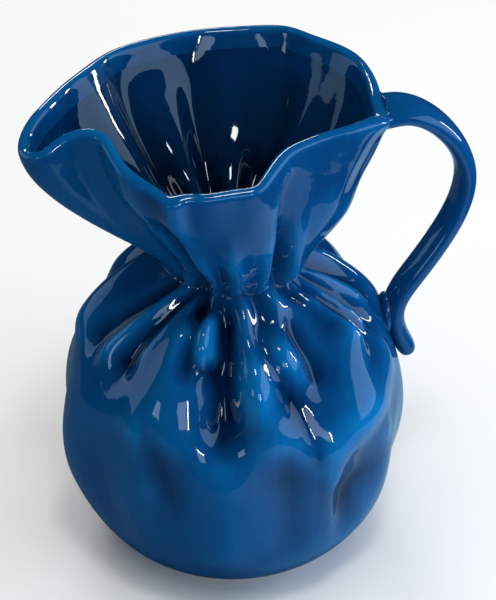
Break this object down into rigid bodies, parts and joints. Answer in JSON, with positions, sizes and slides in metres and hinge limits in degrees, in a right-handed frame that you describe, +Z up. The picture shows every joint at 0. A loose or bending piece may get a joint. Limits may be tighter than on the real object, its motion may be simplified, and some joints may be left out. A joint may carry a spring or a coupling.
{
  "type": "ceramic pitcher",
  "caption": "Glazed stoneware pitcher shaped like a gathered cloth bag, with a folded belly, narrow neck, wide wavy mouth with a pouring spout and a looped strap handle.",
  "frame": {"origin": "centre of the foot, on the surface the pitcher stands on", "axes": "+Z up, +X towards the handle, -X towards the spout, +Y towards the back of the mouth"},
  "size_m": [0.209, 0.1751, 0.2399],
  "materials": {
    "stoneware": "unglazed fired stoneware, dry and slightly rough",
    "blue_glaze": "glossy cobalt blue glaze, darker where it pools in the folds",
    "blue_glaze_inside": "glossy cobalt blue glaze, a thicker poured coat",
    "handle_glaze": "glossy cobalt blue glaze over a pulled strap",
    "slip": "fired joining slip under the same blue glaze"
  },
  "bodies": {
    "root": {"body_casting": "stoneware", "outside_glaze": "blue_glaze", "inside_glaze": "blue_glaze_inside", "handle": "handle_glaze", "upper_slip_joint": "slip", "lower_slip_joint": "slip"}
  },
  "joints": []
}
